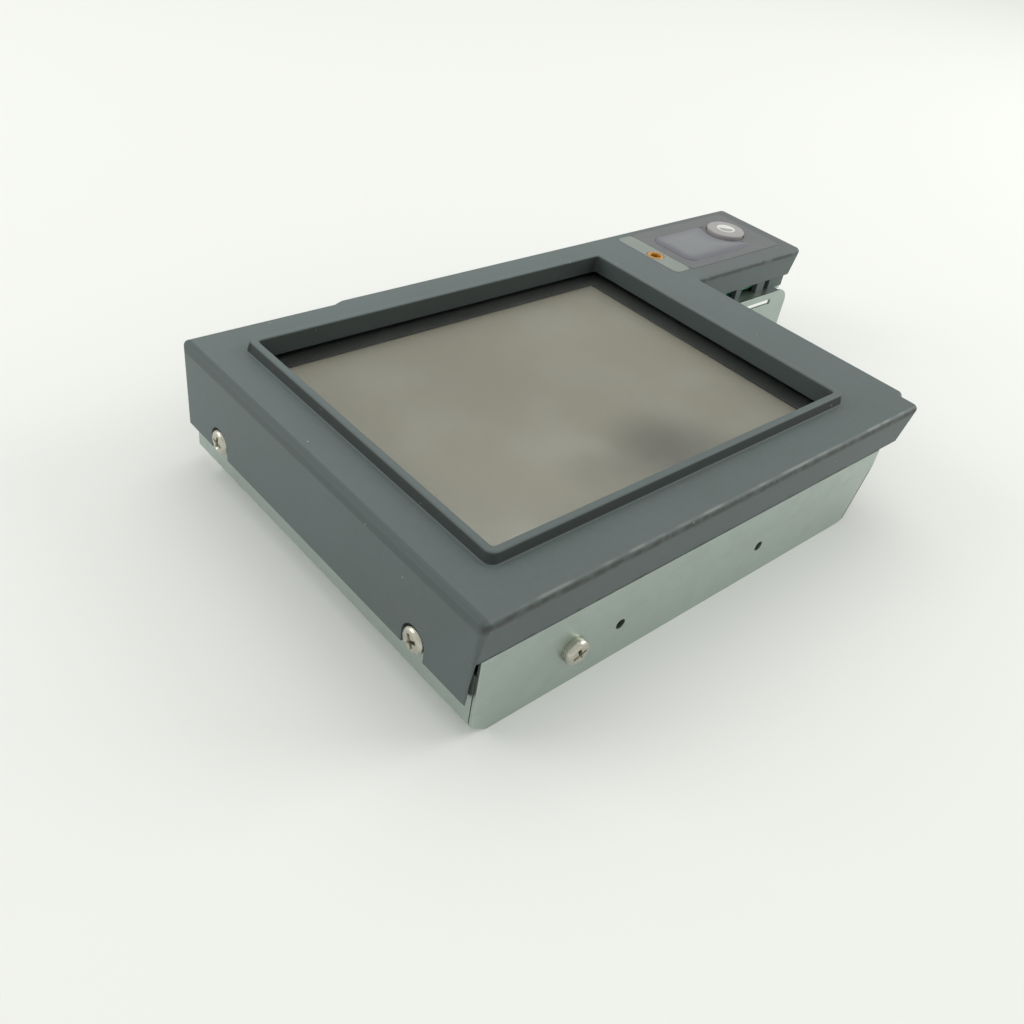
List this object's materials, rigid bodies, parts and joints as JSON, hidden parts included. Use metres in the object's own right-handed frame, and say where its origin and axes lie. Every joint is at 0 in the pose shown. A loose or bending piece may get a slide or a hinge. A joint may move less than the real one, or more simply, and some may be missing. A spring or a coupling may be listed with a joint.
{
  "type": "hmi touch panel",
  "caption": "Operator panel: touch display in a plastic bezel with a key wing, on a sheet-metal chassis that holds its boards.",
  "frame": {"origin": "middle of the object's base, as it lies on its chassis", "axes": "+Z out of the screen, +X along the long side towards the key wing, +Y from the side with the two mounting holes towards the side with the connectors"},
  "size_m": [0.2288, 0.1284, 0.0403],
  "materials": {
    "bezel_plastic": "moulded, fine grain",
    "gasket_foam": "black foam",
    "touch_film": "anti-glare hard coat",
    "touch_glass": "clear",
    "lcd_frame": "black, satin",
    "lcd_glass": "polariser over a switched-off display",
    "white_film": "white film",
    "sheet_metal": "zinc plated with a clear greenish passivation",
    "screw_nickel": "nickel plated",
    "brass_hex": "plated brass",
    "circuit_board": "green solder mask",
    "black_parts": "moulded epoxy",
    "capacitor_sleeve": "shrink sleeve",
    "transformer_tape": "yellow tape",
    "green_housing": "moulded",
    "cable_film": "polyimide film",
    "ribbon_grey": "grey ribbon cable",
    "overlay_film": "printed polyester, satin",
    "strip_film": "printed polyester, satin",
    "amber_lens": "tinted",
    "led_epoxy": "dark epoxy",
    "button_plastic": "light grey, satin",
    "pad_rubber": "silicone, satin",
    "spring_steel": "bright wire",
    "white_nylon": "moulded"
  },
  "bodies": {
    "housing": {"front_bezel": "bezel_plastic", "window_gasket": "gasket_foam", "touch_film": "touch_film", "touch_glass": "touch_glass", "lcd_frame": "lcd_frame", "lcd_glass": "lcd_glass", "diffuser_sheet": "white_film", "light_guide": "touch_glass", "backlight_lamp": "white_film", "lcd_tray": "sheet_metal", "lcd_board": "circuit_board", "lcd_pads": "gasket_foam", "display_bracket": "sheet_metal", "bezel_screws": "screw_nickel", "main_board": "circuit_board", "board_standoffs": "brass_hex", "board_screws": "screw_nickel", "main_chips": "black_parts", "capacitors": "capacitor_sleeve", "inverter_board": "circuit_board", "inverter_transformer": "transformer_tape", "power_connector": "green_housing", "data_connector": "black_parts", "lcd_ribbon": "cable_film", "touch_tail": "cable_film", "chassis_tray": "sheet_metal", "side_screws": "screw_nickel", "side_washers": "screw_nickel", "flange_screws": "screw_nickel", "wing_overlay": "overlay_film", "status_strip": "strip_film", "led_lens": "amber_lens", "status_led": "led_epoxy", "button_spring": "spring_steel", "pad_spring": "spring_steel", "key_board": "circuit_board", "key_switches": "black_parts", "key_spacers": "white_nylon", "key_bracket": "sheet_metal", "wing_screws": "screw_nickel", "key_ribbon": "ribbon_grey"},
    "button": {"round_button": "button_plastic"},
    "pad": {"pad_key": "pad_rubber"}
  },
  "joints": [
    {"name": "button_press", "type": "slide", "parent": "housing", "child": "button", "axis": [0, 0, -1], "range_m": [0, 0.001], "stiffness_N_per_m": 600, "springref_m": -0.002, "deforming": ["button_spring"]},
    {"name": "pad_press", "type": "slide", "parent": "housing", "child": "pad", "axis": [0, 0, -1], "range_m": [0, 0.0007], "stiffness_N_per_m": 800, "springref_m": -0.002, "deforming": ["pad_spring"]}
  ]
}
